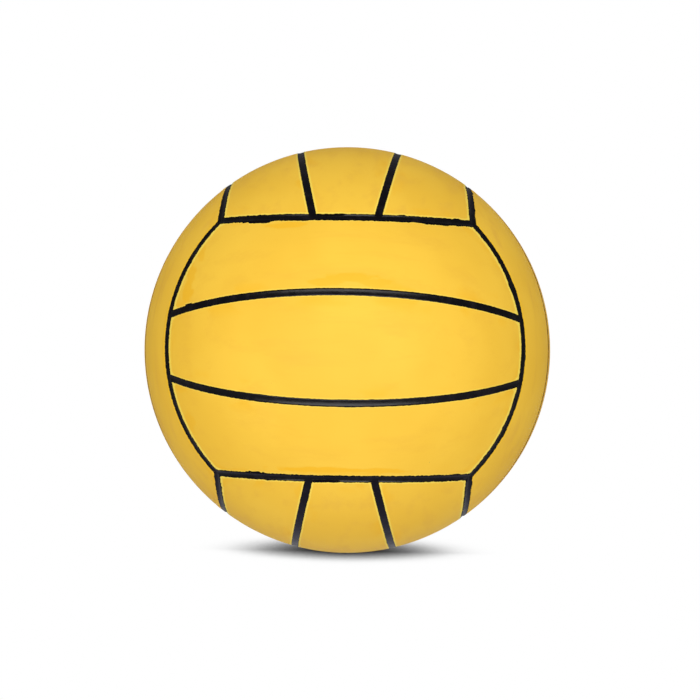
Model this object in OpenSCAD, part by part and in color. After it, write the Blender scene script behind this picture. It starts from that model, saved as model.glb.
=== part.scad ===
// Water polo ball, size 5: eighteen yellow rubber panels parted by black channel strips,
// laid on a rubber carcass, a wound nylon layer and an air bladder with a needle valve.
// The cover has six sides of three panels. The panels of each side run at right angles to
// those of the sides next to it, so the borders meet three by three at the corners of a cube.
// Millimetres, +Z up, the ball's centre at the origin, the front facing -Y, the valve at +Y.

/* [Ball] */
// Outer diameter of the inflated ball
ball_d = 220; // [200:1:230]
// Thickness of the yellow cover panels
panel_t = 1.2; // [1:0.05:2]
// Thickness of the cement between the carcass and the cover
cement_t = 0.1; // [0.05:0.05:0.2]
// Thickness of the black rubber carcass under the cover
carcass_t = 0.5; // [0.3:0.05:1]
// Thickness of the wound nylon layer
winding_t = 0.4; // [0.2:0.05:0.8]
// Thickness of the air bladder
bladder_t = 0.7; // [0.5:0.05:1.5]

/* [Seams] */
// Width of the black strips on the borders between two sides
border_w = 3.4; // [2.5:0.1:4.5]
// Width of the black strips that divide the panels of one side
divider_w = 3.6; // [2.5:0.1:4.5]
// Angle at the ball's centre from the middle of a side to its dividers
divider_angle = 13.9; // [12:0.1:16]
// Rubber left under the channel in a border strip
border_floor_t = 0.35; // [0.25:0.05:0.4]
// Height of a divider's channel above a border's channel
divider_rise = 0.05; // [0.03:0.01:0.1]
// Bevel of the panel edges along the seams and round the valve hole
panel_bevel = 0.35; // [0.2:0.05:0.45]

/* [Valve housing] */
// Diameter of the neck that shows in the cover
neck_d = 10; // [9:0.5:12]
// Depth of the neck's rim below the top of the cover
neck_recess = 0.4; // [0.2:0.1:0.8]
// Gap around the neck in the layers that it passes through
neck_gap = 0.1; // [0.05:0.05:0.2]
// Diameter of the flange bonded inside the bladder
flange_d = 30; // [24:1:40]
// Thickness of the flange
flange_t = 1.2; // [0.8:0.1:2]
// Diameter of the stem that reaches into the ball
stem_d = 12; // [10:0.5:15]
// Length of the stem below the flange
stem_l = 14; // [13:1:20]
// Diameter of the air hole in the end of the stem
air_hole_d = 3; // [2.5:0.5:4]

/* [Valve plug] */
// Diameter of the plug's head
head_d = 7; // [6.5:0.1:8]
// Thickness of the plug's head
head_t = 1.5; // [1:0.1:2]
// Depth of the plug's head below the rim of the neck
head_recess = 0.2; // [0.1:0.1:0.5]
// Diameter of the plug's shaft
shaft_d = 5; // [4.5:0.1:5.5]
// Length of the plug below its head
shaft_l = 12; // [11:0.5:12.5]
// Diameter of the barb that holds the plug in
barb_d = 6.6; // [6:0.1:7.5]
// Height of the barb's cone
barb_h = 2; // [1:0.1:3]
// Height of the barb's straight rim
barb_rim_h = 0.6; // [0.4:0.1:1]
// Gap around the plug in the housing
plug_gap = 0.05; // [0.02:0.01:0.1]
// Diameter of the guide hole for the inflating needle
needle_d = 2; // [1.8:0.1:2.4]
// Depth of the straight part of the guide hole
needle_depth = 8; // [6:0.5:9]
// Diameter of the funnel at the mouth of the guide hole
funnel_d = 3.6; // [2.8:0.1:4.5]
// Depth of the funnel
funnel_h = 0.8; // [0.4:0.1:1.2]

/* [Hidden] */
$fn = 120;
panel_color = "#f2c444";
seam_color = "#26242a";
carcass_color = "#1d1c1e";
winding_color = "#e6e2d6";
bladder_color = "#3a3532";
housing_color = "#2c2b2d";
plug_color = "#161618";

// Radii of the layers, from the outside in
ball_r = ball_d / 2;
cover_r = ball_r - panel_t;
carcass_r = cover_r - cement_t;
winding_r = carcass_r - carcass_t;
bladder_r = winding_r - winding_t;
air_r = bladder_r - bladder_t;
reach = ball_d;
overrun = 1;

// Height along the middle of a seam where its channel's lips and the panels' bevels meet
lip_r = ball_r - panel_bevel;
bevel_cut = panel_bevel + overrun;

// Each border is an arc of a small circle through two corners of the cube in the ball
border_lat = asin(1 / sqrt(3));
corner_tilt = 90 - border_lat;
corner_angle = 45;
miter_angle = 60;
// A divider lies in a plane through the centre and ends in the middle of the borders it meets
divider_end = acos(sin(border_lat) / cos(divider_angle));
divider_floor_t = border_floor_t + divider_rise;

// Places along the valve's axis, as distances from the ball's centre
hole_r = neck_d / 2 + neck_gap;
neck_top = ball_r - neck_recess;
flange_in_r = air_r - flange_t;
stem_end = flange_in_r - stem_l;
plug_top = neck_top - head_recess;
head_floor = plug_top - head_t;
plug_end = head_floor - shaft_l;
needle_end = plug_top - funnel_h - needle_depth;

// The six sides: name, third turns about the cube's diagonal, half turn about Z, the names
// of the two outer panels and of the sides that lie beyond them
sides = [
    ["front", 0, 0, ["lower", "upper"], ["bottom", "top"]],
    ["back", 0, 1, ["lower", "upper"], ["bottom", "top"]],
    ["bottom", 1, 0, ["left", "right"], ["left", "right"]],
    ["top", 1, 1, ["left", "right"], ["left", "right"]],
    ["left", 2, 0, ["front", "back"], ["front", "back"]],
    ["right", 2, 1, ["front", "back"], ["front", "back"]],
];
ends = [-1, 1];
rows = [-1, 0, 1];

function end_index(end) = end < 0 ? 0 : 1;
function panel_name(side, row) =
    str(side[0], "_", row == 0 ? "middle" : side[3][end_index(row)], "_panel");
function divider_name(side, end) = str(side[0], "_", side[3][end_index(end)], "_divider");
function border_name(side, end) = str(side[0], "_", side[4][end_index(end)], "_border");

// Every side is the front turned into place
module at_side(side) {
    rotate(a = side[1] * 120, v = [1, 1, 1])
        rotate([0, 0, side[2] * 180])
            children();
}

// The upper half of the front's layout, or its mirror image
module at_end(end) {
    mirror([0, 0, 1 - end_index(end)])
        children();
}

module at_divider() {
    rotate([-divider_angle, 0, 0])
        children();
}

module at_valve() {
    rotate([-90, 0, 0])
        children();
}

// Depth from the lips of a seam's channel to its floor
function channel_sag(floor_t) = lip_r - cover_r - floor_t;
function channel_r(w, floor_t) =
    (pow(w / 2, 2) + pow(channel_sag(floor_t), 2)) / (2 * channel_sag(floor_t));

// Section of the concave channel, drawn on the X axis as if it were a radius of the ball
module channel_section(w, floor_t) {
    translate([cover_r + floor_t + channel_r(w, floor_t), 0])
        circle(r = channel_r(w, floor_t));
}

// Section of a seam strip: flat sides, a flat underside over the cement, the channel on top
module strip_section(w, floor_t) {
    difference() {
        translate([cover_r, -w / 2])
            square([panel_t, w]);
        channel_section(w, floor_t);
    }
}

// Section of the groove between two panels, with the bevels that it leaves on their edges
module groove_section(w) {
    half = w / 2;
    polygon([
        [cover_r - overrun, -half],
        [lip_r, -half],
        [lip_r + bevel_cut, -half - bevel_cut],
        [lip_r + bevel_cut, half + bevel_cut],
        [lip_r, half],
        [cover_r - overrun, half],
    ]);
}

// All that lies on one side of a seam about Z, with the seam's groove
module beyond_seam(lat, w, toward) {
    rotate_extrude() {
        rotate(lat)
            groove_section(w);
        polygon(reach * [
            [0, 0],
            [cos(lat), sin(lat)],
            [cos(lat), toward],
            [0, toward],
        ]);
    }
}

module shell(outer_r, inner_r) {
    difference() {
        sphere(r = outer_r);
        sphere(r = inner_r);
    }
}

// The borders at the two ends of a side's panels lie on one circle about Y
module side_ends() {
    rotate([90, 0, 0])
        children();
}

// One panel of the front: row 1 is the upper one, 0 the middle one, -1 the lower one
module panel(row, has_valve) {
    color(panel_color)
        at_end(row)
            difference() {
                shell(ball_r, cover_r);
                side_ends()
                    beyond_seam(border_lat, border_w, -1);
                at_divider()
                    beyond_seam(0, divider_w, row == 0 ? 1 : -1);
                if (row == 0)
                    at_end(-1)
                        at_divider()
                            beyond_seam(0, divider_w, 1);
                else
                    beyond_seam(border_lat, border_w, 1);
                if (has_valve)
                    mirror([0, 1, 0])
                        valve_hole();
            }
}

// Round hole for the valve's neck, with a beveled edge in the cover
module valve_hole() {
    at_valve() {
        translate([0, 0, flange_in_r])
            cylinder(r = hole_r, h = ball_r - flange_in_r + overrun);
        translate([0, 0, sqrt(pow(lip_r, 2) - pow(hole_r, 2))])
            cylinder(r1 = hole_r, r2 = hole_r + bevel_cut, h = bevel_cut);
    }
}

// One of three equal sectors about a corner, open towards the strip that ends there
module corner_sector(turn) {
    rotate([0, 0, -90 + turn * corner_angle])
        rotate([0, corner_tilt, 0])
            rotate([0, 0, -turn * 90])
                linear_extrude(height = reach)
                    polygon(reach * [
                        [0, 0],
                        [cos(miter_angle), -sin(miter_angle)],
                        [1, -sin(miter_angle)],
                        [1, sin(miter_angle)],
                        [cos(miter_angle), sin(miter_angle)],
                    ]);
}

// Border strip between the front and the top, mitred with its neighbours at both corners.
// The channels of the top's dividers run through its lip into its own channel.
module border(end) {
    spare_angle = 5;
    half_angle = corner_angle + spare_angle;
    color(seam_color)
        at_end(end)
            difference() {
                intersection() {
                    rotate([0, 0, -90 - half_angle])
                        rotate_extrude(angle = 2 * half_angle)
                            rotate(border_lat)
                                strip_section(border_w, border_floor_t);
                    corner_sector(-1);
                    corner_sector(1);
                }
                at_side(sides[3])
                    for (from = ends)
                        at_end(from)
                            divider_run()
                                channel_section(divider_w, divider_floor_t);
            }
}

// A section swept along the upper divider of the front
module divider_run() {
    at_divider()
        rotate([0, 0, -90 - divider_end])
            rotate_extrude(angle = 2 * divider_end)
                children();
}

// Divider strip between the middle and the upper panel of the front, ending on two borders
module divider(end) {
    color(seam_color)
        at_end(end)
            difference() {
                divider_run()
                    strip_section(divider_w, divider_floor_t);
                side_ends()
                    rotate_extrude()
                        rotate(border_lat)
                            translate([cover_r - overrun, -border_w / 2])
                                square([panel_t + 2 * overrun, border_w]);
            }
}

module carcass() {
    color(carcass_color)
        difference() {
            shell(carcass_r, winding_r);
            valve_hole();
        }
}

module nylon_winding() {
    color(winding_color)
        difference() {
            shell(winding_r, bladder_r);
            valve_hole();
        }
}

module bladder() {
    color(bladder_color)
        difference() {
            shell(bladder_r, air_r);
            valve_hole();
        }
}

// Half section of the plug, from the axis outwards, grown by a gap at its sides and its tip
module plug_section(gap, top) {
    polygon([
        [0, plug_end - gap],
        [shaft_d / 2 + gap, plug_end - gap],
        [barb_d / 2 + gap, plug_end + barb_h],
        [barb_d / 2 + gap, plug_end + barb_h + barb_rim_h],
        [shaft_d / 2 + gap, plug_end + barb_h + barb_rim_h],
        [shaft_d / 2 + gap, head_floor],
        [head_d / 2 + gap, head_floor],
        [head_d / 2 + gap, top],
        [0, top],
    ]);
}

// Rubber boot: a neck through the wall, a flange bonded inside the bladder, a stem inside
module valve_housing() {
    color(housing_color)
        at_valve()
            difference() {
                union() {
                    intersection() {
                        shell(air_r, flange_in_r);
                        cylinder(d = flange_d, h = ball_r);
                    }
                    translate([0, 0, flange_in_r])
                        cylinder(d = neck_d, h = neck_top - flange_in_r);
                    translate([0, 0, stem_end])
                        cylinder(d = stem_d, h = stem_l + flange_t / 2);
                }
                rotate_extrude()
                    plug_section(plug_gap, ball_r);
                translate([0, 0, stem_end - overrun])
                    cylinder(d = air_hole_d, h = plug_end - stem_end + overrun);
            }
}

// Soft plug that closes the valve: a needle goes down its guide hole and parts the slit below
module valve_plug() {
    color(plug_color)
        at_valve()
            difference() {
                rotate_extrude()
                    plug_section(0, plug_top);
                translate([0, 0, needle_end])
                    cylinder(d = needle_d, h = needle_depth + funnel_h + overrun);
                translate([0, 0, plug_top - funnel_h])
                    cylinder(d1 = needle_d, d2 = funnel_d, h = funnel_h);
            }
}

bladder();
nylon_winding();
carcass();
valve_housing();
valve_plug();

for (side = sides, row = rows)
    at_side(side)
            panel(row, side[0] == "back" && row == 0);

for (side = sides, end = ends)
    at_side(side)
            border(end);

for (side = sides, end = ends)
    at_side(side)
            divider(end);
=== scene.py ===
# Water polo ball, size 5: cover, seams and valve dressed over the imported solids
# Metres, +Z up, the ball's centre at the origin, its front facing -Y, its valve at +Y
import math
import bmesh
import bpy
from mathutils import Matrix, Vector


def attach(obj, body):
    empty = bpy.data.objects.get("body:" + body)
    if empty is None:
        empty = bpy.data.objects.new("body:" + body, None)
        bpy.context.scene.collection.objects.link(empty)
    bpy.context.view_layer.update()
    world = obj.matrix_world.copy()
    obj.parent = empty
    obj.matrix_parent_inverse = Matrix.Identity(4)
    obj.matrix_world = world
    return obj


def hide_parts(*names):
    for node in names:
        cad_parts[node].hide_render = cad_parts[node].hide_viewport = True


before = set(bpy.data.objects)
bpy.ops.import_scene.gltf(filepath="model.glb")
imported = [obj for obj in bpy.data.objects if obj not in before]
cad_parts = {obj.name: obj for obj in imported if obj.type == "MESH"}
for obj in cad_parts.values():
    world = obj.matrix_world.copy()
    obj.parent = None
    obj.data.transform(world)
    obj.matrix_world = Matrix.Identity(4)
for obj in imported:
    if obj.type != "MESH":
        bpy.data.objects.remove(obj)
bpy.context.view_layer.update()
print("frame loaded:", len(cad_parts), "nodes")

mmPerMetre = 1000

ball = {
    "radius": 0.110,
    "coverWall": 0.0012,
    "borderWidth": 0.0034,  # strips between two sides
    "dividerWidth": 0.0036,  # strips between the panels of one side
    "borderLat": math.asin(1 / math.sqrt(3)),  # from a middle plane to the borders beside it
    "dividerAngle": math.radians(13.9),  # from the middle of a side to its dividers
    # how far the black goes past a strip's side, in mm
    "borderPaint": 0.45,
    "dividerPaint": 0.05,
    "uprightPaint": -0.45,  # the left and right sides' dividers were masked more tightly
}
borderHalf = ball["borderWidth"] / 2 * mmPerMetre
dividerHalf = ball["dividerWidth"] / 2 * mmPerMetre

# Name, third turns about the cube's diagonal, half turns about Z, its outer panels,
# its two borders, and which axes run along, out of and across its panels
sides = [
    ("front", 0, 0, ("lower", "upper"), ("bottom", "top"), "XYZ"),
    ("back", 0, 1, ("lower", "upper"), ("bottom", "top"), "XYZ"),
    ("bottom", 1, 0, ("left", "right"), ("left", "right"), "YZX"),
    ("top", 1, 1, ("left", "right"), ("left", "right"), "YZX"),
    ("left", 2, 0, ("front", "back"), ("front", "back"), "ZXY"),
    ("right", 2, 1, ("front", "back"), ("front", "back"), "ZXY"),
]


# Node helpers: each adds nodes to a tree and gives back what they put out
def feed(tree, socket, source):
    if isinstance(source, bpy.types.NodeSocket):
        tree.links.new(source, socket)
    elif source is not None:
        socket.default_value = source


def calc(tree, operation, *values):
    node = tree.nodes.new("ShaderNodeMath")
    node.operation = operation
    for socket, value in zip(node.inputs, values):
        feed(tree, socket, value)
    return node.outputs[0]


def plus(tree, first, second):
    return calc(tree, "ADD", first, second)


def minus(tree, first, second):
    return calc(tree, "SUBTRACT", first, second)


def times(tree, first, second):
    return calc(tree, "MULTIPLY", first, second)


def vectorCalc(tree, operation, *values):
    node = tree.nodes.new("ShaderNodeVectorMath")
    node.operation = operation
    for socket, value in zip(node.inputs, values):
        feed(tree, socket, value)
    return node.outputs["Value" if operation == "LENGTH" else "Vector"]


def rescale(tree, value, low, high, toLow=0.0, toHigh=1.0, smooth=False):
    node = tree.nodes.new("ShaderNodeMapRange")
    node.interpolation_type = "SMOOTHSTEP" if smooth else "LINEAR"
    names = ("Value", "From Min", "From Max", "To Min", "To Max")
    for name, number in zip(names, (value, low, high, toLow, toHigh)):
        feed(tree, node.inputs[name], number)
    return node.outputs["Result"]


def blendColor(tree, factor, first, second):
    node = tree.nodes.new("ShaderNodeMix")
    node.data_type = "RGBA"
    feed(tree, node.inputs[0], factor)
    feed(tree, node.inputs[6], first)
    feed(tree, node.inputs[7], second)
    return node.outputs[2]


def noiseAt(tree, position, featureSize, detail=2.0, roughness=0.5):
    node = tree.nodes.new("ShaderNodeTexNoise")
    feed(tree, node.inputs["Vector"], position)
    node.inputs["Scale"].default_value = 1 / featureSize
    node.inputs["Detail"].default_value = detail
    node.inputs["Roughness"].default_value = roughness
    return node.outputs["Fac"]


def objectPlace(tree):
    return tree.nodes.new("ShaderNodeTexCoord").outputs["Object"]


def axesOf(tree, vector):
    split = tree.nodes.new("ShaderNodeSeparateXYZ")
    feed(tree, split.inputs[0], vector)
    return split.outputs


# The position with its axes in a side's order: along, out of and across its panels
def turnedPlace(tree, position, order):
    if order == "XYZ":
        return position
    axes = axesOf(tree, position)
    join = tree.nodes.new("ShaderNodeCombineXYZ")
    for socket, axis in zip(join.inputs, order):
        tree.links.new(axes[axis], socket)
    return join.outputs[0]


# The position drawn together along the panels, which draws out a pattern there
def drawnOut(tree, position, share):
    return vectorCalc(tree, "MULTIPLY", position, (share, 1.0, 1.0))


def newGroup(name, inputs, outputs):
    tree = bpy.data.node_groups.new(name, "ShaderNodeTree")
    for label, value in inputs.items():
        isVector = value is None or isinstance(value, tuple)
        kind = "NodeSocketVector" if isVector else "NodeSocketFloat"
        socket = tree.interface.new_socket(name=label, in_out="INPUT", socket_type=kind)
        if value is not None:
            socket.default_value = value
    for label in outputs:
        tree.interface.new_socket(name=label, in_out="OUTPUT", socket_type="NodeSocketFloat")
    given = tree.nodes.new("NodeGroupInput").outputs
    return tree, given, tree.nodes.new("NodeGroupOutput").inputs


def useGroup(tree, group, **values):
    node = tree.nodes.new("ShaderNodeGroup")
    node.node_tree = group
    for name, value in values.items():
        feed(tree, node.inputs[name], value)
    return node.outputs


# Effects that the rubbers share: sizes in metres, reliefs and distances in mm
seamMap = {
    "nearRange": (4.0, 6.0),  # distances over which a border stops being near
    "neatBlend": 1.0,  # distance over which a divider's neatness gives way to a border's
    "dividerRough": 0.35,  # the borders were painted less neatly
    "borderRough": 1.0,
}


# How far a point lies from the black's nominal edge, how roughly the black was brushed there,
# and how near a border beside the panels or at their ends is
def makeSeamField():
    tree, given, result = newGroup(
        "seamField", {"Place": None, "DividerPaint": ball["dividerPaint"]},
        ["Unpainted", "Rough", "Beside", "Ends"])
    axes = axesOf(tree, vectorCalc(tree, "NORMALIZE", given["Place"]))
    outward = calc(tree, "ABSOLUTE", axes["Y"])
    across = calc(tree, "ABSOLUTE", axes["Z"])
    radius = ball["radius"] * mmPerMetre
    perSine = radius / math.cos(ball["borderLat"])
    level = math.sin(ball["borderLat"])
    sideBorder = calc(tree, "ABSOLUTE", times(tree, minus(tree, level, across), perSine))
    endBorder = calc(tree, "ABSOLUTE", times(tree, minus(tree, outward, level), perSine))
    offPlane = minus(tree, times(tree, across, math.cos(ball["dividerAngle"])),
                     times(tree, outward, math.sin(ball["dividerAngle"])))
    divider = times(tree, calc(tree, "ABSOLUTE", offPlane), radius)
    border = calc(tree, "MINIMUM", sideBorder, endBorder)
    besideBorder = minus(tree, border, borderHalf + ball["borderPaint"])
    besideDivider = minus(tree, divider, plus(tree, given["DividerPaint"], dividerHalf))
    feed(tree, result["Unpainted"], calc(tree, "MINIMUM", besideBorder, besideDivider))
    feed(tree, result["Beside"], rescale(tree, sideBorder, *seamMap["nearRange"], 1.0, 0.0))
    feed(tree, result["Ends"], rescale(tree, endBorder, *seamMap["nearRange"], 1.0, 0.0))
    feed(tree, result["Rough"], rescale(
        tree, minus(tree, besideDivider, besideBorder), -seamMap["neatBlend"],
        seamMap["neatBlend"], seamMap["dividerRough"], seamMap["borderRough"]))
    return tree


brush = {
    "ragSize": 0.0015,
    "ragReach": 1.35,
    "blobSize": 0.0085,
    "blobRange": (0.60, 0.74),
    "blobReach": 0.40,
    "blur": 0.04,
    # the painted highlight on the panel's rim beside the black: its width in mm, and where it
    # fades
    "highlightWidth": 0.5,
    "highlightFade": (0.7, 1.5),  # shares of the rim's width between which it ends
}


# Hand-brushed edge: where black lies, and the painted highlight on the rim beside it
def makeBrushedEdge():
    tree, given, result = newGroup(
        "brushedEdge",
        {"Place": None, "Distance": 0.0, "Rough": 1.0, "RimWidth": brush["highlightWidth"]},
        ["Black", "Rim"])
    rag = minus(tree, noiseAt(tree, given["Place"], brush["ragSize"], 2.0, 0.6), 0.5)
    blob = rescale(tree, noiseAt(tree, given["Place"], brush["blobSize"], 1.0),
                   *brush["blobRange"], smooth=True)
    uneven = calc(tree, "MULTIPLY_ADD", rag, brush["ragReach"],
                  times(tree, blob, brush["blobReach"]))
    ahead = minus(tree, times(tree, uneven, given["Rough"]), given["Distance"])
    black = rescale(tree, ahead, -brush["blur"], brush["blur"], smooth=True)
    feed(tree, result["Black"], black)
    # painted highlight: a bright band on the panel just past the black's edge
    intoHighlight = calc(tree, "DIVIDE", times(tree, ahead, -1.0), given["RimWidth"])
    rim = rescale(tree, intoHighlight, *brush["highlightFade"], 1.0, 0.0, smooth=True)
    feed(tree, result["Rim"], rim)
    return tree


roll = {
    "width": 0.55,  # over which it goes down
    "drop": 0.45,  # at 1 mm
}


# The black rolls over towards its edge, so that the lips of a channel stay dark
def makeRolledLip():
    tree, given, result = newGroup(
        "rolledLip", {"Distance": 0.0, "Width": roll["width"], "Drop": roll["drop"]}, ["Relief"])
    near = calc(tree, "MAXIMUM", plus(tree, given["Distance"], given["Width"]), 0.0)
    down = times(tree, given["Drop"], -1.0)
    feed(tree, result["Relief"], times(tree, times(tree, near, near), down))
    return tree


skin = {
    "grainSize": 0.0007,
    "grain": 0.012,
    "grainShade": 0.5,  # how much of the grain goes into the shade
    "waveSize": 0.016,
    "wave": 0.06,
    "shadeRange": (-0.4, 0.4),
}


# Fine grip grain and slow unevenness: relief and a shade about 0
def makeSkinRelief():
    tree, given, result = newGroup(
        "skinRelief", {"Place": None, "Grain": skin["grain"], "Wave": skin["wave"]},
        ["Relief", "Shade"])
    grain = minus(tree, noiseAt(tree, given["Place"], skin["grainSize"], 2.0, 0.55), 0.5)
    wave = minus(tree, noiseAt(tree, given["Place"], skin["waveSize"], 1.0, 0.4), 0.5)
    relief = plus(tree, times(tree, grain, given["Grain"]), times(tree, wave, given["Wave"]))
    feed(tree, result["Relief"], relief)
    feed(tree, result["Shade"], plus(tree, times(tree, grain, skin["grainShade"]), wave))
    return tree


streaks = {
    "fineSize": 0.0014,
    "fineDrawn": 0.06,
    "broadSize": 0.009,
    "broadDrawn": 0.12,
}


# Flow streaks of the rolled sheet, drawn out along the panels
def makeFlowStreaks():
    tree, given, result = newGroup("flowStreaks", {"Place": None}, ["Fine", "Broad"])
    fine = drawnOut(tree, given["Place"], streaks["fineDrawn"])
    broad = drawnOut(tree, given["Place"], streaks["broadDrawn"])
    feed(tree, result["Fine"],
         minus(tree, noiseAt(tree, fine, streaks["fineSize"], 2.0, 0.6), 0.5))
    feed(tree, result["Broad"], minus(tree, noiseAt(tree, broad, streaks["broadSize"]), 0.5))
    return tree


stroke = {
    "wanderSize": 0.003,
    "wanderDrawn": 0.3,
    "wanderReach": 1.5,  # shares of the stroke's own reach, as the fade is
    "fade": (0.70, 1.05),
}


# A stroke of the brush: an ellipsoid with a wandering edge
def makeTouchUp():
    tree, given, result = newGroup(
        "touchUp", {"Place": None, "Middle": (0.0, 0.0, 0.0), "Reach": (1.0, 1.0, 1.0)},
        ["Stroke"])
    drawn = drawnOut(tree, given["Place"], stroke["wanderDrawn"])
    wander = minus(tree, noiseAt(tree, drawn, stroke["wanderSize"], 3.0, 0.6), 0.5)
    fromMiddle = vectorCalc(tree, "SUBTRACT", given["Place"], given["Middle"])
    share = vectorCalc(tree, "LENGTH", vectorCalc(tree, "DIVIDE", fromMiddle, given["Reach"]))
    spread = plus(tree, share, times(tree, wander, stroke["wanderReach"]))
    feed(tree, result["Stroke"], rescale(tree, spread, *stroke["fade"], 1.0, 0.0, smooth=True))
    return tree


dust = {
    "cellsPerMetre": 115.0,
    "size": 0.035,  # share of a cell
    "blur": 0.012,
    "patchSize": 0.012,
    "patchRange": (0.52, 0.70),
}


# Small dark specks of dust and cement, in loose patches
def makeSpecks():
    tree, given, result = newGroup("specks", {"Place": None, "Size": dust["size"]}, ["Speck"])
    cells = tree.nodes.new("ShaderNodeTexVoronoi")
    cells.inputs["Scale"].default_value = dust["cellsPerMetre"]
    feed(tree, cells.inputs["Vector"], given["Place"])
    chance = rescale(tree, noiseAt(tree, given["Place"], dust["patchSize"], 0.0),
                     *dust["patchRange"])
    inside = minus(tree, times(tree, given["Size"], chance), cells.outputs["Distance"])
    feed(tree, result["Speck"], rescale(tree, inside, 0.0, dust["blur"], smooth=True))
    return tree


seamField = makeSeamField()
brushedEdge = makeBrushedEdge()
rolledLip = makeRolledLip()
skinRelief = makeSkinRelief()
flowStreaks = makeFlowStreaks()
touchUp = makeTouchUp()
specks = makeSpecks()
print("effects ready")


# Materials
def newMaterial(name, finish):
    material = bpy.data.materials.new(name)
    material.use_nodes = True
    tree = material.node_tree
    shader = next(n for n in tree.nodes if n.type == "BSDF_PRINCIPLED")
    shader.inputs["Roughness"].default_value = finish["roughness"]
    shader.inputs["Specular IOR Level"].default_value = finish["specular"]
    return material, tree, shader.inputs


def addRelief(tree, inputs, heightInMm):
    bump = tree.nodes.new("ShaderNodeBump")
    bump.inputs["Strength"].default_value = 1.0
    bump.inputs["Distance"].default_value = 1 / mmPerMetre
    feed(tree, bump.inputs["Height"], heightInMm)
    tree.links.new(bump.outputs["Normal"], inputs["Normal"])


# Roughness that goes either side of a finish's own, over a range of some value
def varyRoughness(tree, value, valueRange, finish):
    rough, spread = finish["roughness"], finish["roughSpread"]
    return rescale(tree, value, *valueRange, rough - spread, rough + spread)


rubber = {
    "yellow": (0.930, 0.558, 0.045, 1),
    "paleYellow": (0.965, 0.595, 0.052, 1),
    "deepYellow": (0.885, 0.495, 0.036, 1),
    "dullYellow": (0.850, 0.488, 0.060, 1),
    "orange": (0.940, 0.490, 0.013, 1),
    # painted highlights along the panel rims beside the black, orange on the left and right
    # sides
    "rim": (1.0, 0.755, 0.095, 1),
    "orangeHighlight": (1.0, 0.60, 0.035, 1),
    "black": (0.0040, 0.0034, 0.0038, 1),
    "greyBlack": (0.019, 0.0155, 0.017, 1),
    "speck": (0.30, 0.20, 0.05, 1),
}
# Strokes of touch-up on the front: middle and reach in metres, strength
strokes = [
    ((-0.030, -0.0878, 0.0592), (0.011, 0.030, 0.0015), 0.60),
    ((-0.025, -0.0890, 0.0600), (0.008, 0.030, 0.0012), 0.60),
    ((0.0040, -0.1048, 0.0335), (0.014, 0.030, 0.0024), 0.55),
    ((-0.008, -0.1050, 0.0310), (0.010, 0.030, 0.0022), 0.50),
    ((0.0155, -0.1045, 0.0310), (0.010, 0.030, 0.0022), 0.50),
    ((-0.0785, -0.0720, 0.0270), (0.0034, 0.030, 0.0066), 0.60),
    ((-0.0770, -0.0700, 0.0365), (0.0028, 0.030, 0.0075), 0.55),
    ((-0.0725, -0.0665, 0.0480), (0.0026, 0.030, 0.0060), 0.45),
    ((-0.0100, -0.0922, -0.0590), (0.030, 0.030, 0.0016), 0.70),
    ((0.0200, -0.0911, -0.0592), (0.016, 0.030, 0.0014), 0.60),
    ((-0.0775, -0.0675, -0.0380), (0.0040, 0.030, 0.0060), 0.35),
    ((0.0765, -0.0599, -0.0520), (0.0045, 0.030, 0.0030), 0.35),
]
# Places where the brush slipped: middle and reach in metres, how far the black runs out in mm
slips = [
    ((-0.0430, -0.0799, 0.0618), (0.0085, 0.030, 0.0030), 1.10),
    ((0.0435, -0.0805, 0.0612), (0.0085, 0.030, 0.0030), 0.70),
    ((-0.0425, -0.0810, -0.0605), (0.0050, 0.030, 0.0030), 0.55),
    ((-0.0778, -0.0751, 0.0215), (0.0022, 0.030, 0.0020), 0.60),
    ((0.0744, -0.0618, 0.0523), (0.0022, 0.030, 0.0022), 0.45),
    ((0.0830, -0.0644, 0.0326), (0.0022, 0.030, 0.0022), 0.45),
]
cover = {
    "roughness": 0.46,
    "roughSpread": 0.04,
    "specular": 0.03,
    "cloudSize": 0.045,
    "cloudRange": (0.35, 0.65),
    "deepStreaks": 1.1,
    "fineShare": 0.5,  # of the fine streaks among them
    "bandRange": (0.0, 0.25),
    "dullBands": {"XYZ": 0.12, "YZX": 0.25, "ZXY": 0.45},  # stronger on the top and bottom, and strongest on the left and right
    "patchNear": 9.0,  # mm from a seam within which touch-up colour lies in patches
    "patchSize": 0.011,
    "patchDrawn": 0.3,
    "patchRange": (0.54, 0.66),
    "patchStrength": 0.4,
    "patchGloss": 0.06,  # taken off the roughness
    "blackGloss": 0.08,
    "speckStrength": 0.55,
    "streakRise": 0.006,  # mm
    "blackRise": 0.03,
    # which border has the clearer painted highlight on the rim beside the black, and the
    # highlight's
    # width in mm and strength: everywhere, and what is added at that border
    "highlightBorder": {"XYZ": "Ends", "YZX": "Beside", "ZXY": "Beside"},
    "highlightWidth": {"XYZ": (0.45, 1.05), "YZX": (0.75, 0.30), "ZXY": (0.42, 1.00)},
    "highlightStrength": {"XYZ": (0.55, 0.40), "YZX": (0.80, 0.15), "ZXY": (0.50, 0.45)},
}


# the painted highlight's width or strength on a side
def highlightValue(tree, field, order, values):
    everywhere, added = cover[values][order]
    return calc(tree, "MULTIPLY_ADD", field[cover["highlightBorder"][order]], added, everywhere)


# The black's edge on a side, with the slips of the brush on the front
def seamEdge(tree, place, turned, order):
    paint = ball["uprightPaint"] if order == "ZXY" else ball["dividerPaint"]
    field = useGroup(tree, seamField, Place=turned, DividerPaint=paint)
    distance = field["Unpainted"]
    if order == "XYZ":
        for middle, reach, run in slips:
            slip = useGroup(tree, touchUp, Place=place, Middle=middle, Reach=reach)["Stroke"]
            distance = minus(tree, distance, times(tree, slip, run))
    edge = useGroup(tree, brushedEdge, Place=place, Distance=distance, Rough=field["Rough"],
                    RimWidth=highlightValue(tree, field, order, "highlightWidth"))
    return field, edge


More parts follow.
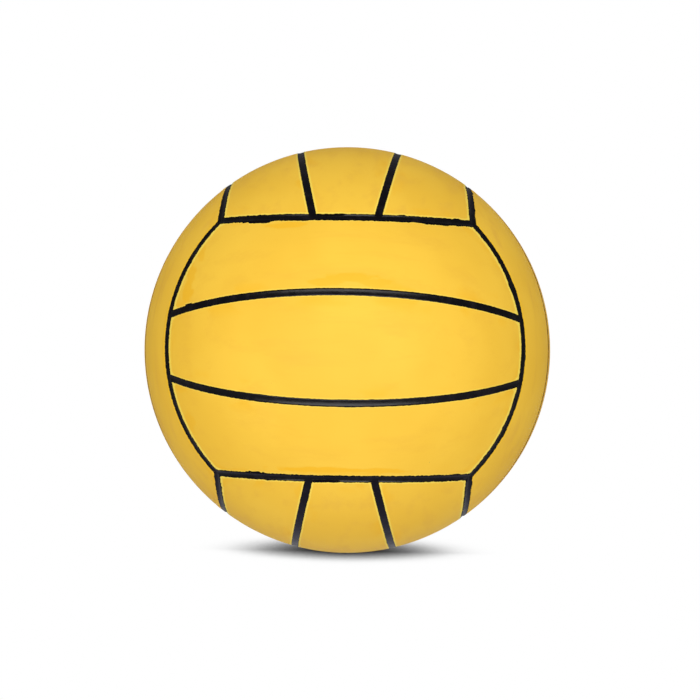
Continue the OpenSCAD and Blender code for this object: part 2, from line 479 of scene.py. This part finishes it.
# Touch-up colour: patches near the seams, and a few strokes on the front
def touchedUp(tree, place, turned, field, order):
    nearSeam = rescale(tree, field["Unpainted"], 0.0, cover["patchNear"], 1.0, 0.0, smooth=True)
    drawn = drawnOut(tree, turned, cover["patchDrawn"])
    patchy = rescale(tree, noiseAt(tree, drawn, cover["patchSize"]),
                     *cover["patchRange"], smooth=True)
    patches = times(tree, patchy, times(tree, nearSeam, cover["patchStrength"]))
    if order == "XYZ":
        for middle, reach, strength in strokes:
            mark = useGroup(tree, touchUp, Place=place, Middle=middle, Reach=reach)["Stroke"]
            patches = calc(tree, "MAXIMUM", patches, times(tree, mark, strength))
    return patches


def coverRubber(order):
    material, tree, inputs = newMaterial("coverRubber" + order, cover)
    place = objectPlace(tree)
    turned = turnedPlace(tree, place, order)
    field, edge = seamEdge(tree, place, turned, order)
    surface = useGroup(tree, skinRelief, Place=place)
    flow = useGroup(tree, flowStreaks, Place=turned)
    cloudy = rescale(tree, noiseAt(tree, place, cover["cloudSize"]),
                     *cover["cloudRange"], smooth=True)
    color = blendColor(tree, cloudy, rubber["yellow"], rubber["paleYellow"])
    mixed = plus(tree, flow["Broad"], times(tree, flow["Fine"], cover["fineShare"]))
    deep = calc(tree, "MAXIMUM", times(tree, mixed, cover["deepStreaks"]), 0.0)
    color = blendColor(tree, deep, color, rubber["deepYellow"])
    bands = rescale(tree, flow["Broad"], *cover["bandRange"], smooth=True)
    dull = times(tree, bands, cover["dullBands"][order])
    color = blendColor(tree, dull, color, rubber["dullYellow"])
    patches = touchedUp(tree, place, turned, field, order)
    color = blendColor(tree, patches, color, rubber["orange"])
    # painted highlight: a bright line along the rolled panel edge next to the black, orange on
    # the left and right
    highlightColor = rubber["orangeHighlight"] if order == "ZXY" else rubber["rim"]
    rim = times(tree, edge["Rim"], highlightValue(tree, field, order, "highlightStrength"))
    color = blendColor(tree, rim, color, highlightColor)
    speck = times(tree, useGroup(tree, specks, Place=place)["Speck"], cover["speckStrength"])
    color = blendColor(tree, speck, color, rubber["speck"])
    color = blendColor(tree, edge["Black"], color, rubber["black"])
    feed(tree, inputs["Base Color"], color)
    rough = varyRoughness(tree, surface["Shade"], skin["shadeRange"], cover)
    rough = plus(tree, rough, times(tree, patches, -cover["patchGloss"]))
    rough = minus(tree, rough, times(tree, edge["Black"], cover["blackGloss"]))
    feed(tree, inputs["Roughness"], rough)
    underBlack = calc(tree, "MINIMUM", field["Unpainted"], 0.0)
    lip = useGroup(tree, rolledLip, Distance=underBlack)["Relief"]
    blackRelief = times(tree, edge["Black"], plus(tree, lip, cover["blackRise"]))
    relief = plus(tree, surface["Relief"], blackRelief)
    relief = plus(tree, relief, times(tree, flow["Fine"], cover["streakRise"]))
    addRelief(tree, inputs, relief)
    return material


seamFinish = {
    "roughness": 0.26,
    "roughSpread": 0.06,
    "specular": 0.13,
    "grain": 0.02,
    "wave": 0.10,
    "scuffSize": 0.006,
    "scuffRange": (0.50, 0.75),
    "scuffStrength": 0.55,
    "glossSize": 0.004,
    "glossRange": (0.3, 0.7),
    # at a divider and at a border: the borders' channels are hollower, and the dividers'
    # lips roll over further
    "hollow": (0.0, 0.09),
    "rollDrop": (0.35, 0.20),
    "rollWidth": (0.75, 0.50),
}


# Strips take the black of the seam they lie in, which runs on where two seams meet
def seamRubber(order):
    material, tree, inputs = newMaterial("seamRubber" + order, seamFinish)
    place = objectPlace(tree)
    turned = turnedPlace(tree, place, order)
    field, edge = seamEdge(tree, place, turned, order)
    surface = useGroup(tree, skinRelief, Place=place,
                       Grain=seamFinish["grain"], Wave=seamFinish["wave"])
    scuffs = rescale(tree, noiseAt(tree, place, seamFinish["scuffSize"], 3.0, 0.6),
                     *seamFinish["scuffRange"])
    scuffs = times(tree, scuffs, seamFinish["scuffStrength"])
    color = blendColor(tree, scuffs, rubber["black"], rubber["greyBlack"])
    color = blendColor(tree, edge["Black"], rubber["deepYellow"], color)
    feed(tree, inputs["Base Color"], color)
    worn = noiseAt(tree, place, seamFinish["glossSize"])
    feed(tree, inputs["Roughness"],
         varyRoughness(tree, worn, seamFinish["glossRange"], seamFinish))

    def bySeam(values):
        return rescale(tree, field["Rough"], seamMap["dividerRough"], seamMap["borderRough"],
                       *seamFinish[values])

    fromMiddle = plus(tree, field["Unpainted"], ball["borderPaint"] + borderHalf)
    hollow = times(tree, times(tree, fromMiddle, fromMiddle), bySeam("hollow"))
    underBlack = calc(tree, "MINIMUM", field["Unpainted"], 0.0)
    lip = useGroup(tree, rolledLip, Distance=underBlack, Width=bySeam("rollWidth"),
                   Drop=bySeam("rollDrop"))["Relief"]
    addRelief(tree, inputs, plus(tree, surface["Relief"], plus(tree, hollow, lip)))
    return material


# Rubbers inside the ball and in its valve: plain, with bloom and specks on them
plain = {
    "specular": 0.4,
    "roughSpread": 0.06,
    "bloomSize": 0.008,
    "bloomRange": (0.40, 0.75),
    "speckSize": 0.05,
    "speckStrength": 0.5,
    "carcassRubber": {"color": (0.010, 0.010, 0.011, 1), "bloom": (0.030, 0.029, 0.030, 1),
                      "roughness": 0.62, "grain": 0.03, "wave": 0.10},
    "bladderRubber": {"color": (0.034, 0.028, 0.024, 1), "bloom": (0.070, 0.060, 0.052, 1),
                      "roughness": 0.45, "grain": 0.01, "wave": 0.10},
    "housingRubber": {"color": (0.016, 0.015, 0.016, 1), "bloom": (0.040, 0.038, 0.040, 1),
                      "roughness": 0.48, "grain": 0.02, "wave": 0.04},
    "plugRubber": {"color": (0.009, 0.009, 0.010, 1), "bloom": (0.026, 0.025, 0.027, 1),
                   "roughness": 0.40, "grain": 0.015, "wave": 0.03},
}


def plainRubber(name):
    finish = {**plain, **plain[name]}
    material, tree, inputs = newMaterial(name, finish)
    place = objectPlace(tree)
    surface = useGroup(tree, skinRelief, Place=place, Grain=finish["grain"], Wave=finish["wave"])
    speck = useGroup(tree, specks, Place=place, Size=finish["speckSize"])["Speck"]
    bloom = rescale(tree, noiseAt(tree, place, finish["bloomSize"], 3.0, 0.6),
                    *finish["bloomRange"])
    color = blendColor(tree, bloom, finish["color"], finish["bloom"])
    speck = times(tree, speck, finish["speckStrength"])
    feed(tree, inputs["Base Color"], blendColor(tree, speck, color, finish["bloom"]))
    feed(tree, inputs["Roughness"],
         varyRoughness(tree, surface["Shade"], skin["shadeRange"], finish))
    addRelief(tree, inputs, surface["Relief"])
    return material


yarn = {
    "roughness": 0.6,
    "specular": 0.3,
    "turns": [(0.3, 0.0, 0.2), (1.2, 0.5, 0.0), (0.4, 1.3, 0.8), (2.1, 0.9, 1.5)],
    "scale": 260.0,
    "distortion": 0.6,
    "patchSize": 0.02,  # each layer shows more in some patches than in others
    "patchRange": (0.4, 0.6),
    "faintest": 0.4,
    "gapColor": (0.42, 0.40, 0.33, 1),
    "threadColor": (0.82, 0.80, 0.72, 1),
    "gapRoughness": 0.7,
    "threadRoughness": 0.5,
    "thickness": 0.12,  # mm
}


# Yarn wound round the bladder in great circles that cross each other
def woundNylon():
    material, tree, inputs = newMaterial("woundNylon", yarn)
    place = objectPlace(tree)
    height = None
    for turn in yarn["turns"]:
        mapping = tree.nodes.new("ShaderNodeMapping")
        mapping.inputs["Rotation"].default_value = turn
        feed(tree, mapping.inputs["Vector"], place)
        threads = tree.nodes.new("ShaderNodeTexWave")
        threads.bands_direction = "Z"
        threads.inputs["Scale"].default_value = yarn["scale"]
        threads.inputs["Distortion"].default_value = yarn["distortion"]
        feed(tree, threads.inputs["Vector"], mapping.outputs[0])
        patches = rescale(tree, noiseAt(tree, mapping.outputs[0], yarn["patchSize"]),
                          *yarn["patchRange"], yarn["faintest"], 1.0)
        layer = times(tree, threads.outputs["Fac"], patches)
        height = layer if height is None else calc(tree, "MAXIMUM", height, layer)
    feed(tree, inputs["Base Color"],
         blendColor(tree, height, yarn["gapColor"], yarn["threadColor"]))
    feed(tree, inputs["Roughness"],
         rescale(tree, height, 0.0, 1.0, yarn["gapRoughness"], yarn["threadRoughness"]))
    addRelief(tree, inputs, times(tree, height, yarn["thickness"]))
    return material


coverByOrder = {order: coverRubber(order) for order in ("XYZ", "YZX", "ZXY")}
seamByOrder = {order: seamRubber(order) for order in ("XYZ", "YZX", "ZXY")}
innerFinish = {
    "carcass": plainRubber("carcassRubber"),
    "nylon_winding": woundNylon(),
    "bladder": plainRubber("bladderRubber"),
}
housingRubber = plainRubber("housingRubber")
plugRubber = plainRubber("plugRubber")
print("materials ready")

mergeDistance = 1e-6
smoothAngle = math.radians(35)  # edges sharper than this stay sharp


def finishPiece(name, bm, material, node):
    bmesh.ops.recalc_face_normals(bm, faces=bm.faces[:])
    mesh = bpy.data.meshes.new(name)
    bm.to_mesh(mesh)
    bm.free()
    mesh.polygons.foreach_set("use_smooth", [True] * len(mesh.polygons))
    mesh.set_sharp_from_angle(angle=smoothAngle)
    mesh.materials.append(material)
    piece = bpy.data.objects.new(name, mesh)
    bpy.context.scene.collection.objects.link(piece)
    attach(piece, "root")
    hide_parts(node)
    return piece


def setMaterial(node, material):
    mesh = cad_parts[node].data
    if not mesh.materials:
        mesh.materials.append(material)
    for index in range(len(mesh.materials)):
        mesh.materials[index] = material


# Seam strips: the CAD's own, with the channel's lips and floor pressed nearer the surface
strip = {
    "cadLip": 0.00035,  # depth of the channel's lips in the CAD
    "lip": 0.00005,  # and here
    "dividerDepth": 0.45,  # share that is left of the channel's depth below its lips
    "borderDepth": 0.60,
    "underside": 0.0011,  # what lies deeper is the strip's underside
}


def stripPiece(node, depthShare, material):
    bm = bmesh.new()
    bm.from_mesh(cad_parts[node].data)
    bmesh.ops.remove_doubles(bm, verts=bm.verts[:], dist=mergeDistance)
    for vert in bm.verts:
        depth = ball["radius"] - vert.co.length
        if depth < strip["underside"]:
            depth = strip["lip"] + (depth - strip["cadLip"]) * depthShare
            vert.co = vert.co.normalized() * (ball["radius"] - depth)
    return finishPiece(node + "Skin", bm, material, node)


# Cover panels: a grid laid on the sphere between the seams, given its wall and rounded edges
panel = {
    "alongSteps": 72,
    "acrossSteps": 20,
    "edgeInset": 0.0009,
    "edgeRound": 0.00025,
    "edgeSegments": 3,
    "endFrom": 0.3,  # a longitude before any panel's end, from which the end is looked for
    "endSteps": 40,
    "valveBlock": 0.009,  # half width of the square opened for the valve's hole
    "valveHole": 0.0051,
    "valveCuts": 3,
}
borderLean = math.asin(ball["borderWidth"] / 2 / ball["radius"])


# Angles about X between which a panel lies, at a longitude from the middle of the front
def acrossLimits(row, lon):
    shrink = ball["radius"] * math.cos(lon)
    dividerLean = math.asin(ball["dividerWidth"] / 2 / shrink)
    if row == "middle":
        high = ball["dividerAngle"] - dividerLean
        return -high, high
    top = ball["radius"] * math.sin(ball["borderLat"] - borderLean)
    return ball["dividerAngle"] + dividerLean, math.asin(min(top / shrink, 1.0))


# Where the line at this share of the panel's width meets the border at its end
def endLongitude(row, share):
    level = math.sin(ball["borderLat"] + borderLean)
    low, high = panel["endFrom"], math.pi / 2 - ball["borderLat"]
    for _ in range(panel["endSteps"]):
        lon = (low + high) / 2
        near, far = acrossLimits(row, lon)
        if math.cos(lon) * math.cos(near + (far - near) * share) > level:
            low = lon
        else:
            high = lon
    return low


def onSphere(verts, radius):
    for vert in verts:
        vert.co = vert.co.normalized() * radius


def panelSheet(row):
    bm = bmesh.new()
    bmesh.ops.create_grid(bm, x_segments=panel["alongSteps"], y_segments=panel["acrossSteps"],
                          size=1.0)
    ends = {}
    for vert in bm.verts:
        share = round((vert.co.y + 1) / 2, 6)
        if share not in ends:
            ends[share] = endLongitude(row, share)
        lon = vert.co.x * ends[share]
        near, far = acrossLimits(row, lon)
        tilt = near + (far - near) * share
        along, outward = math.sin(lon), math.cos(lon)
        point = Vector((along, -outward * math.cos(tilt), outward * math.sin(tilt)))
        vert.co = point * ball["radius"]
    bmesh.ops.inset_region(bm, faces=bm.faces[:], thickness=panel["edgeInset"],
                           use_boundary=True, use_even_offset=True)
    return bm


# Opens the sheet's middle and brings its edge to a round hole
def openForValve(bm):
    def within(verts, reach):
        return all(abs(v.co.x) < reach and abs(v.co.z) < reach for v in verts)

    half = panel["valveBlock"]
    doomed = [f for f in bm.faces if within(f.verts, half)]
    bmesh.ops.delete(bm, geom=doomed, context="FACES")
    square = [e for e in bm.edges if e.is_boundary and within(e.verts, 2 * half)]
    turnedUp = (Matrix.Translation((0, -ball["radius"], 0))
                @ Matrix.Rotation(math.pi / 2, 4, "X"))
    ring = bmesh.ops.create_circle(bm, segments=len(square), radius=panel["valveHole"],
                                   matrix=turnedUp)
    ringEdges = list({e for v in ring["verts"] for e in v.link_edges})
    bridge = bmesh.ops.bridge_loops(bm, edges=square + ringEdges)
    spokes = [e for e in bridge["edges"] if e not in square and e not in ringEdges]
    bmesh.ops.subdivide_edges(bm, edges=spokes, cuts=panel["valveCuts"], use_grid_fill=True)


def panelPiece(node, row, matrix, material, hasValve):
    bm = panelSheet(row)
    if hasValve:
        openForValve(bm)
    onSphere(bm.verts, ball["radius"])
    sheet = bm.faces[:] + bm.edges[:] + bm.verts[:]
    wall = bmesh.ops.extrude_face_region(bm, geom=sheet, use_keep_orig=True)
    inner = [g for g in wall["geom"] if isinstance(g, bmesh.types.BMVert)]
    onSphere(inner, ball["radius"] - ball["coverWall"])
    bmesh.ops.recalc_face_normals(bm, faces=bm.faces[:])
    middleRadius = ball["radius"] - ball["coverWall"] / 2
    rim = [e for e in bm.edges if all(v.co.length > middleRadius for v in e.verts)
           and any(min(v.co.length for v in f.verts) < middleRadius for f in e.link_faces)]
    bmesh.ops.bevel(bm, geom=rim, offset=panel["edgeRound"], offset_type="OFFSET",
                    affect="EDGES", segments=panel["edgeSegments"], profile=0.5, material=-1,
                    clamp_overlap=True)
    bm.transform(matrix)
    return finishPiece(node + "Skin", bm, material, node)


frontPieces = bpy.data.collections.new("frontPieces")
# the side beyond a border gives its order, because its dividers end there
beyond = {"XYZ": "YZX", "YZX": "ZXY", "ZXY": "XYZ"}
for side, thirds, halves, outer, borders, order in sides:
    turn = (Matrix.Rotation(math.radians(120 * thirds), 4, Vector((1, 1, 1)))
            @ Matrix.Rotation(math.pi * halves, 4, "Z"))
    flip = turn @ Matrix.Scale(-1, 4, Vector((0, 0, 1)))
    pieces = [
        panelPiece(f"{side}_{outer[0]}_panel", "outer", flip, coverByOrder[order], False),
        panelPiece(f"{side}_middle_panel", "middle", turn, coverByOrder[order], side == "back"),
        panelPiece(f"{side}_{outer[1]}_panel", "outer", turn, coverByOrder[order], False),
    ]
    for end in outer:
        pieces.append(stripPiece(f"{side}_{end}_divider", strip["dividerDepth"],
                                 seamByOrder[order]))
    for end in borders:
        piece = stripPiece(f"{side}_{end}_border", strip["borderDepth"],
                           seamByOrder[beyond[order]])
        if "front" in (side, end):
            frontPieces.objects.link(piece)
    if side == "front":
        for piece in pieces:
            frontPieces.objects.link(piece)
    print("dressed the", side)

for node, material in innerFinish.items():
    setMaterial(node, material)


# Valve, turned about the ball's Y axis from its half section
valve = {
    "steps": 72,
    "edgeRound": 0.00012,
    "edgeSegments": 2,
    "sharpAngle": math.radians(40),  # corners sharper than this are rounded
    # distance from the axis and from the ball's centre, in mm
    "plug": [(0, 95.9), (2.5, 95.9), (3.3, 97.9), (3.3, 98.5), (2.5, 98.5), (2.5, 107.9),
             (3.5, 107.9), (3.5, 109.3), (2.9, 109.4), (1.8, 109.4), (1.0, 108.6),
             (1.0, 100.6), (0, 100.6)],
    "housing": [(5.0, 107.0), (8.5, 106.76), (12.0, 106.43), (15.0, 106.04), (15.0, 104.83),
                (12.0, 105.22), (8.5, 105.56), (6.0, 105.73), (6.0, 91.9), (1.5, 91.9),
                (1.5, 95.85), (2.55, 95.85), (3.35, 97.9), (3.35, 98.5), (2.55, 98.5),
                (2.55, 107.9), (3.55, 107.9), (3.55, 109.6), (5.0, 109.6)],
}


def turnedPiece(name, profile, closed, material, node):
    bm = bmesh.new()
    points = [bm.verts.new((r / mmPerMetre, h / mmPerMetre, 0)) for r, h in profile]
    pairs = list(zip(points, points[1:])) + ([(points[-1], points[0])] if closed else [])
    edges = [bm.edges.new(pair) for pair in pairs]
    bmesh.ops.spin(bm, geom=points + edges, cent=(0, 0, 0), axis=(0, 1, 0),
                   angle=2 * math.pi, steps=valve["steps"], use_merge=True)
    bmesh.ops.remove_doubles(bm, verts=bm.verts[:], dist=mergeDistance)
    bmesh.ops.recalc_face_normals(bm, faces=bm.faces[:])
    sharp = [e for e in bm.edges
             if len(e.link_faces) == 2 and e.calc_face_angle() > valve["sharpAngle"]]
    bmesh.ops.bevel(bm, geom=sharp, offset=valve["edgeRound"], offset_type="OFFSET",
                    affect="EDGES", segments=valve["edgeSegments"], profile=0.5, material=-1,
                    clamp_overlap=True)
    return finishPiece(name, bm, material, node)


turnedPiece("valvePlugSkin", valve["plug"], False, plugRubber, "valve_plug")
turnedPiece("valveHousingSkin", valve["housing"], True, housingRubber,
            "valve_housing")
print("valve ready")


# Studio: a pale floor, soft light from the front, the photograph's camera
studio = {
    "floorSize": 6.0,
    "floorColor": (0.82, 0.82, 0.82, 1),
    "floorGap": 0.00005,  # under the ball
    "allRound": 0.27,  # light from every side
    "fromFront": 1.39,  # more of it from the front
    "fromBehind": 2.8,  # a pool of light behind the ball that brightens only its back
    "poolRange": (0.80, 0.97),  # sines of the directions between which the pool comes up
    "fromBeside": -0.12,  # less from the left and right
    "fromAbove": 0.03,  # a little more from above than from below
    "coolAbove": 0.6,  # how much bluer the light from above and from the paper below is
    "coolBelow": 1.0,
    "coolRange": (-0.2, 0.2),
    "glossCool": 0.5,  # share of that in the gloss
    "frontGloss": 0.45,  # how white the floor shows in the gloss, in front of the ball
    "rearGloss": 0.45,  # and behind it
    "highGloss": 0.13,  # and the room above it
    "glossRange": (-0.45, 0.0),  # sines between which the floor gives way to the room
    "boxPower": 95.0,  # soft box that shows in the gloss
    "boxWidth": 3.0,
    "boxHeight": 1.5,
    "boxPlace": (0.0, -1.50, -0.02),
}
# The shade under the ball comes from how open each point of the paper is
shade = {
    "reach": 1.0,
    "samples": 24,
    # how fast it clears: beside the ball, over a range of openness, and in front
    "openRange": (0.08, 0.30),
    "beside": (0.9, 2.5),
    "front": 5.5,
    "softness": 0.25,
}


def emission(tree, strength):
    sheet = tree.nodes.new("ShaderNodeEmission")
    sheet.inputs["Color"].default_value = (1, 1, 1, 1)
    feed(tree, sheet.inputs["Strength"], strength)
    return sheet.outputs[0]


def mixShader(tree, factor, first, second):
    mix = tree.nodes.new("ShaderNodeMixShader")
    for socket, source in zip(mix.inputs, (factor, first, second)):
        tree.links.new(source, socket)
    return mix.outputs[0]


# Rays that show the plain white ground, and those that show the gloss
def seenBy(tree):
    paths = tree.nodes.new("ShaderNodeLightPath").outputs
    seen = calc(tree, "MAXIMUM", paths["Is Camera Ray"], paths["Is Transmission Ray"])
    return seen, paths["Is Glossy Ray"]


def towardsFront(tree, outward):
    return calc(tree, "MAXIMUM", times(tree, outward, -1.0), 0.0)


# White paper that keeps the shade of what stands on it, clearest towards the light in front
def paperShade(tree):
    hidden = tree.nodes.new("ShaderNodeAmbientOcclusion")
    hidden.samples = shade["samples"]
    hidden.inputs["Distance"].default_value = shade["reach"]
    openSky = hidden.outputs["AO"]
    flat = vectorCalc(tree, "MULTIPLY", objectPlace(tree), (1.0, 1.0, 0.0))
    front = towardsFront(tree, axesOf(tree, vectorCalc(tree, "NORMALIZE", flat))["Y"])
    beside = rescale(tree, openSky, *shade["openRange"], *shade["beside"])
    gain = plus(tree, beside, times(tree, minus(tree, shade["front"], beside), front))
    return calc(tree, "SMOOTH_MIN", times(tree, openSky, gain), 1.0, shade["softness"])


def floorPiece():
    bm = bmesh.new()
    bmesh.ops.create_grid(bm, x_segments=1, y_segments=1, size=studio["floorSize"] / 2)
    bmesh.ops.translate(bm, verts=bm.verts[:],
                        vec=(0, 0, -ball["radius"] - studio["floorGap"]))
    mesh = bpy.data.meshes.new("floor")
    bm.to_mesh(mesh)
    bm.free()
    floor = bpy.data.objects.new("floor", mesh)
    bpy.context.scene.collection.objects.link(floor)
    material = bpy.data.materials.new("paleFloor")
    material.use_nodes = True
    tree = material.node_tree
    tree.nodes.clear()
    matte = tree.nodes.new("ShaderNodeBsdfDiffuse")
    matte.inputs["Color"].default_value = studio["floorColor"]
    seen = seenBy(tree)[0]
    paper = mixShader(tree, seen, matte.outputs[0], emission(tree, paperShade(tree)))
    # from below the paper is clear, so that the ball's underside shows
    fromBelow = tree.nodes.new("ShaderNodeNewGeometry").outputs["Backfacing"]
    clear = tree.nodes.new("ShaderNodeBsdfTransparent").outputs[0]
    output = tree.nodes.new("ShaderNodeOutputMaterial")
    tree.links.new(mixShader(tree, fromBelow, paper, clear), output.inputs["Surface"])
    mesh.materials.append(material)
    # the light comes through it, as bright paper would send it up
    floor.visible_diffuse = False
    floor.visible_glossy = False
    floor.visible_shadow = False


def softBox():
    lamp = bpy.data.lights.new("softBox", "AREA")
    lamp.shape = "ELLIPSE"
    lamp.energy = studio["boxPower"]
    lamp.size = studio["boxWidth"]
    lamp.size_y = studio["boxHeight"]
    holder = bpy.data.objects.new("softBox", lamp)
    holder.location = studio["boxPlace"]
    holder.rotation_euler = Vector(studio["boxPlace"]).to_track_quat("Z", "Y").to_euler()
    holder.visible_diffuse = False
    holder.visible_camera = False
    bpy.context.scene.collection.objects.link(holder)
    # flagged off the rest of the ball, whose outline it would bleach from behind
    holder.light_linking.receiver_collection = frontPieces


def whiteWorld():
    world = bpy.data.worlds.new("whiteWorld")
    bpy.context.scene.world = world
    world.use_nodes = True
    tree = world.node_tree
    tree.nodes.clear()
    direction = tree.nodes.new("ShaderNodeTexCoord").outputs["Generated"]
    axes = axesOf(tree, vectorCalc(tree, "NORMALIZE", direction))
    seen, glossy = seenBy(tree)
    level = calc(tree, "MULTIPLY_ADD", towardsFront(tree, axes["Y"]), studio["fromFront"],
                 studio["allRound"])
    pool = rescale(tree, axes["Y"], *studio["poolRange"], 0.0, studio["fromBehind"],
                   smooth=True)
    level = plus(tree, level, pool)
    beside = times(tree, axes["X"], axes["X"])
    level = calc(tree, "MULTIPLY_ADD", beside, studio["fromBeside"], level)
    level = calc(tree, "MULTIPLY_ADD", axes["Z"], studio["fromAbove"], level)
    paper = rescale(tree, axes["Y"], 0.0, 1.0, studio["frontGloss"], studio["rearGloss"])
    gloss = rescale(tree, axes["Z"], *studio["glossRange"], paper, studio["highGloss"],
                    smooth=True)
    level = rescale(tree, glossy, 0.0, 1.0, level, gloss)
    upright = times(tree, axes["Z"], axes["Z"])
    cool = rescale(tree, axes["Z"], *studio["coolRange"], studio["coolBelow"],
                   studio["coolAbove"])
    cool = times(tree, cool, rescale(tree, glossy, 0.0, 1.0, 1.0, studio["glossCool"]))
    blue = calc(tree, "MULTIPLY_ADD", upright, cool, 1.0)
    tint = tree.nodes.new("ShaderNodeCombineColor")
    tint.inputs["Red"].default_value = 1.0
    tint.inputs["Green"].default_value = 1.0
    feed(tree, tint.inputs["Blue"], rescale(tree, seen, 0.0, 1.0, blue, 1.0))
    sheet = tree.nodes.new("ShaderNodeBackground")
    feed(tree, sheet.inputs["Color"], tint.outputs[0])
    feed(tree, sheet.inputs["Strength"], rescale(tree, seen, 0.0, 1.0, level, 1.0))
    output = tree.nodes.new("ShaderNodeOutputWorld")
    tree.links.new(sheet.outputs[0], output.inputs["Surface"])


camera = {
    "distance": 0.7806,
    "focalPixels": 1424.9,
    "imagePixels": 700,
    "ballPixel": (347.36, 349.97),  # where the ball's centre lies in the picture
    # degrees the ball is turned
    "turn": -1.239,  # about its upright axis
    "tip": -0.605,  # towards the camera
    "roll": 0.847,
    "sensorWidth": 36.0,
    "clipStart": 0.01,
}


def placeCamera():
    lens = bpy.data.cameras.new("camera")
    lens.sensor_width = camera["sensorWidth"]
    lens.lens = camera["focalPixels"] / camera["imagePixels"] * lens.sensor_width
    lens.clip_start = camera["clipStart"]
    holder = bpy.data.objects.new("camera", lens)
    bpy.context.scene.collection.objects.link(holder)
    ballTurn = (Matrix.Rotation(math.radians(camera["roll"]), 3, "Y")
                @ Matrix.Rotation(math.radians(camera["tip"]), 3, "X")
                @ Matrix.Rotation(math.radians(camera["turn"]), 3, "Z"))
    back = ballTurn.transposed()
    # look a little past the centre, so that the ball lies where it does in the picture
    middle = camera["imagePixels"] / 2
    column, line = camera["ballPixel"]
    aside = Vector(((middle - column) / camera["focalPixels"], 1,
                    (line - middle) / camera["focalPixels"])).normalized()
    right = Vector((1, 0, 0))
    right = (right - aside * right.dot(aside)).normalized()
    up = right.cross(aside)
    axes = Matrix((back @ right, back @ up, back @ -aside)).transposed()
    place = Matrix.Translation(back @ Vector((0, -camera["distance"], 0)))
    holder.matrix_world = place @ axes.to_4x4()
    bpy.context.scene.camera = holder


floorPiece()
softBox()
whiteWorld()
placeCamera()
bpy.context.scene.view_settings.view_transform = "Standard"
print("studio ready")

bpy.context.view_layer.update()
